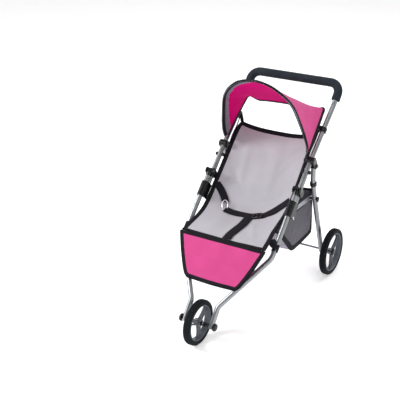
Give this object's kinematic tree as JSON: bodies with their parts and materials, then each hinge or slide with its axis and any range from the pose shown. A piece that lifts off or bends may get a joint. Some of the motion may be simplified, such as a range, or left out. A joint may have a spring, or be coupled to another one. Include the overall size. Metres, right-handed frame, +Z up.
{
  "type": "doll stroller",
  "caption": "Folding doll jogging stroller with a bent tube frame, foam push bar, slung fabric seat with a lap belt, leg panel, folding canopy and under-seat basket.",
  "frame": {"origin": "centre of the footprint's bounding box on the floor, with the frame unfolded", "axes": "+Z up; -Y toward the front wheel; +X toward the stroller's left side, which is also the pusher's left"},
  "size_m": [0.3632, 0.6646, 0.6668],
  "materials": {
    "tube": "bright plated steel tube, lightly brushed",
    "foam": "matt closed-cell foam sleeve",
    "black_plastic": "moulded black plastic, satin to gloss",
    "steel": "zinc-plated pins and axle rods",
    "wire": "spring-steel wire",
    "strip": "satin flat strip",
    "ring": "pale metal ring",
    "tyre": "black foamed tyre with a shallow tread",
    "rim": "grey moulded spoked rim",
    "pink_fabric": "pink woven polyester with dark binding",
    "seat_fabric": "pale lilac-grey woven polyester",
    "webbing": "black webbing",
    "basket_fabric": "dark grey woven polyester"
  },
  "bodies": {
    "handle_frame": {"handle_tube": "tube", "foam_grip": "foam", "leg_block_left": "black_plastic", "leg_block_right": "black_plastic", "leg_pivot_left": "steel", "leg_pivot_right": "steel", "hinge_block_left": "black_plastic", "hinge_block_right": "black_plastic", "fold_pin_left": "steel", "fold_pin_right": "steel", "seat_bolt_left": "black_plastic", "seat_bolt_right": "black_plastic", "seat_clip_left": "black_plastic", "seat_clip_right": "black_plastic", "seat_back": "seat_fabric"},
    "canopy": {"canopy_hoop": "wire", "canopy_boss_left": "black_plastic", "canopy_boss_right": "black_plastic", "canopy_cover": "pink_fabric"},
    "front_frame": {"front_tube_left": "tube", "front_tube_right": "tube", "front_cap_left": "black_plastic", "front_cap_right": "black_plastic", "fork_spacer_left": "black_plastic", "fork_spacer_right": "black_plastic", "fork_cap_left": "black_plastic", "fork_cap_right": "black_plastic", "front_axle": "steel", "front_strut": "black_plastic", "seat_base": "seat_fabric", "leg_panel": "pink_fabric", "lap_belt": "webbing", "crotch_strap": "webbing", "belt_slide": "black_plastic", "belt_ring": "ring"},
    "front_wheel": {"front_tyre": "tyre", "front_rim": "rim"},
    "lock_sleeve_left": {"lock_sleeve_left": "black_plastic"},
    "lock_sleeve_right": {"lock_sleeve_right": "black_plastic"},
    "rear_legs": {"rear_leg_left": "tube", "rear_leg_right": "tube", "leg_collar_left": "black_plastic", "leg_collar_right": "black_plastic", "strip_rivet_left": "black_plastic", "strip_rivet_right": "black_plastic", "rear_spacer_left": "black_plastic", "rear_spacer_right": "black_plastic", "rear_cap_left": "black_plastic", "rear_cap_right": "black_plastic", "rear_axle": "steel"},
    "basket_carrier": {"basket_strip_left": "strip", "basket_strip_right": "strip", "basket": "basket_fabric"},
    "rear_wheel_left": {"rear_left_tyre": "tyre", "rear_left_rim": "rim"},
    "rear_wheel_right": {"rear_right_tyre": "tyre", "rear_right_rim": "rim"}
  },
  "joints": [
    {"name": "front_fold", "type": "hinge", "parent": "handle_frame", "child": "front_frame", "pos_m": [0, 0.04736, 0.37032], "axis": [-1, 0, 0], "range_deg": [0, 120]},
    {"name": "sleeve_slide_left", "type": "slide", "parent": "front_frame", "child": "lock_sleeve_left", "axis": [0, -0.7266, -0.6871], "range_m": [0, 0.042]},
    {"name": "sleeve_slide_right", "type": "slide", "parent": "front_frame", "child": "lock_sleeve_right", "axis": [0, -0.7266, -0.6871], "range_m": [0, 0.042]},
    {"name": "rear_leg_fold", "type": "hinge", "parent": "handle_frame", "child": "rear_legs", "pos_m": [0, 0.145, 0.408], "axis": [-1, 0, 0], "range_deg": [0, 44]},
    {"name": "basket_fold", "type": "hinge", "parent": "rear_legs", "child": "basket_carrier", "pos_m": [0, 0.1696, 0.29], "axis": [-1, 0, 0], "range_deg": [0, 10], "deforming": ["basket"]},
    {"name": "canopy_fold", "type": "hinge", "parent": "handle_frame", "child": "canopy", "pos_m": [0, 0.13179, 0.42745], "axis": [-1, 0, 0], "range_deg": [-45, 0], "deforming": ["canopy_cover"]},
    {"name": "front_wheel_spin", "type": "hinge", "parent": "front_frame", "child": "front_wheel", "pos_m": [0, -0.267, 0.065], "axis": [1, 0, 0], "continuous": true},
    {"name": "rear_wheel_left_spin", "type": "hinge", "parent": "rear_legs", "child": "rear_wheel_left", "pos_m": [0.1706, 0.2524, 0.075], "axis": [1, 0, 0], "continuous": true},
    {"name": "rear_wheel_right_spin", "type": "hinge", "parent": "rear_legs", "child": "rear_wheel_right", "pos_m": [-0.1706, 0.2524, 0.075], "axis": [1, 0, 0], "continuous": true}
  ],
  "couplings": [
    {"joint": "sleeve_slide_left", "follows": "front_fold", "m_per_rad": 0.0196},
    {"joint": "sleeve_slide_right", "follows": "front_fold", "m_per_rad": 0.0196},
    {"joint": "rear_leg_fold", "follows": "front_fold", "ratio": 0.36},
    {"joint": "basket_fold", "follows": "front_fold", "ratio": 0.0775}
  ]
}
